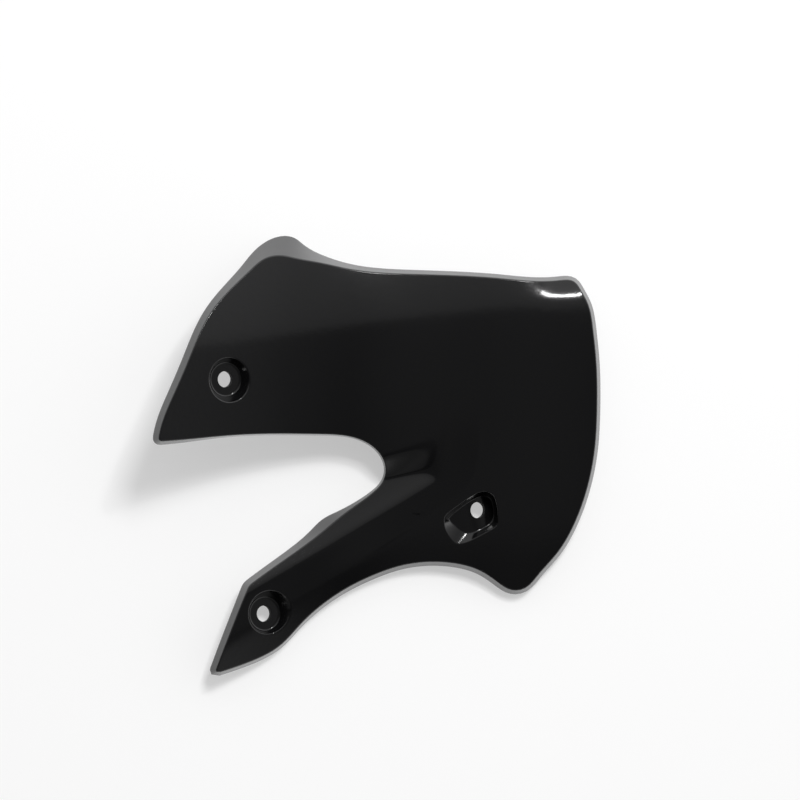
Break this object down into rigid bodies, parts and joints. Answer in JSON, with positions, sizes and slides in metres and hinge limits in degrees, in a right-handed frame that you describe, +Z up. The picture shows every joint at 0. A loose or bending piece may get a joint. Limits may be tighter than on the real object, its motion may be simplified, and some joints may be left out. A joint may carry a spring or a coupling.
{
  "type": "dirt bike radiator shroud",
  "caption": "Moulded side panel that guards a dirt bike's radiator: a gently crowned, flanged shell with a deep notch, a reaching arm and recessed bolt pockets.",
  "frame": {"origin": "middle of the box round the part, at the height of the surface it lies on", "axes": "+Z up out of the outer face, +X from the flared front lobe to the long rear edge, +Y from the arm to the peak of the top edge"},
  "size_m": [0.2894, 0.2768, 0.0556],
  "materials": {
    "moulded_plastic": "gloss"
  },
  "bodies": {
    "root": {"radiator_shroud": "moulded_plastic"}
  },
  "joints": []
}
